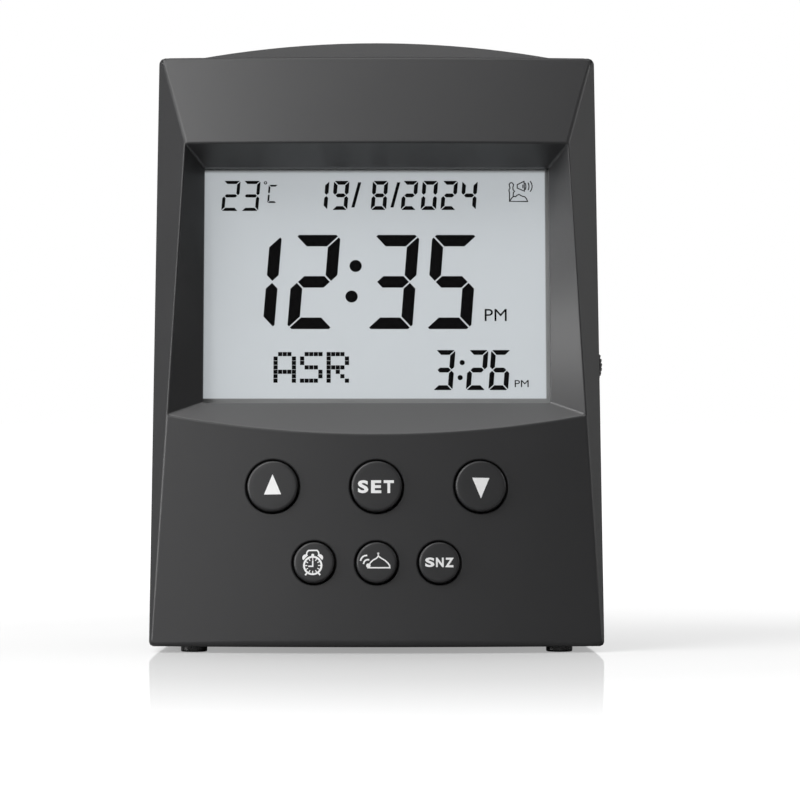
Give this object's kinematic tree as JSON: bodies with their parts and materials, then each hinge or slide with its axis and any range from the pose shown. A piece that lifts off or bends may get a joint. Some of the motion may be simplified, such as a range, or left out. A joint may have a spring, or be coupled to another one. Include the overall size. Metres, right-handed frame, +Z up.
{
  "type": "azan clock",
  "caption": "Compact desk clock with a hooded liquid crystal display, round push buttons, a side volume wheel, a rear speaker and a battery bay.",
  "frame": {"origin": "on the desk, under the middle of the case's width and depth", "axes": "+X to the right of the display, +Y to the back, +Z up"},
  "size_m": [0.0866, 0.0509, 0.117],
  "materials": {
    "case": "charcoal grey moulded ABS with a fine satin finish",
    "button": "charcoal grey moulded caps with white printed marks",
    "window": "clear acrylic",
    "lcd": "reflective grey liquid crystal glass with black segments",
    "frame_plastic": "black moulded frame",
    "light_guide": "milky acrylic",
    "zebra": "striped silicone connector",
    "board": "green solder mask on glass-fibre board",
    "component": "black moulded component cases",
    "switch": "black tact switches",
    "steel": "zinc-plated pressed steel",
    "paper": "black paper cone",
    "magnet": "ferrite magnet",
    "screw": "zinc-plated steel",
    "cell": "plain printed steel cans",
    "contact": "nickel-plated spring steel",
    "foot_rubber": "black rubber",
    "wheel": "black moulded plastic, ribbed rim"
  },
  "bodies": {
    "case": {"front_shell": "case", "rear_shell": "case", "display_window": "window", "lcd_panel": "lcd", "lcd_frame": "frame_plastic", "light_guide": "light_guide", "zebra_strips": "zebra", "main_board": "board", "board_components": "component", "tact_switches": "switch", "volume_pot": "component", "speaker_frame": "steel", "speaker_cone": "paper", "speaker_magnet": "magnet", "speaker_screws": "screw", "cells": "cell", "contact_plates": "contact", "contact_springs": "contact", "rubber_feet": "foot_rubber", "case_screws": "screw", "board_screws": "screw"},
    "up_button_body": {"up_button": "button"},
    "set_button_body": {"set_button": "button"},
    "down_button_body": {"down_button": "button"},
    "alarm_button_body": {"alarm_button": "button"},
    "azan_button_body": {"azan_button": "button"},
    "snooze_button_body": {"snooze_button": "button"},
    "volume_wheel_body": {"volume_wheel": "wheel"},
    "battery_door_body": {"battery_door": "case"}
  },
  "joints": [
    {"name": "up_press", "type": "slide", "parent": "case", "child": "up_button_body", "axis": [0, 0.9781, -0.2079], "range_m": [0, 0.0005], "stiffness_N_per_m": 300, "springref_m": -0.001},
    {"name": "set_press", "type": "slide", "parent": "case", "child": "set_button_body", "axis": [0, 0.9781, -0.2079], "range_m": [0, 0.0005], "stiffness_N_per_m": 300, "springref_m": -0.001},
    {"name": "down_press", "type": "slide", "parent": "case", "child": "down_button_body", "axis": [0, 0.9781, -0.2079], "range_m": [0, 0.0005], "stiffness_N_per_m": 300, "springref_m": -0.001},
    {"name": "alarm_press", "type": "slide", "parent": "case", "child": "alarm_button_body", "axis": [0, 0.9781, -0.2079], "range_m": [0, 0.0005], "stiffness_N_per_m": 300, "springref_m": -0.001},
    {"name": "azan_press", "type": "slide", "parent": "case", "child": "azan_button_body", "axis": [0, 0.9781, -0.2079], "range_m": [0, 0.0005], "stiffness_N_per_m": 300, "springref_m": -0.001},
    {"name": "snooze_press", "type": "slide", "parent": "case", "child": "snooze_button_body", "axis": [0, 0.9781, -0.2079], "range_m": [0, 0.0005], "stiffness_N_per_m": 300, "springref_m": -0.001},
    {"name": "volume_turn", "type": "hinge", "parent": "case", "child": "volume_wheel_body", "pos_m": [0.03735, 0.00134, 0.0541], "axis": [0, -0.9781, 0.2079], "range_deg": [-135, 135]},
    {"name": "battery_door_lift", "type": "slide", "parent": "case", "child": "battery_door_body", "axis": [0, 0.9976, 0.0698], "range_m": [0, 0.03]}
  ]
}
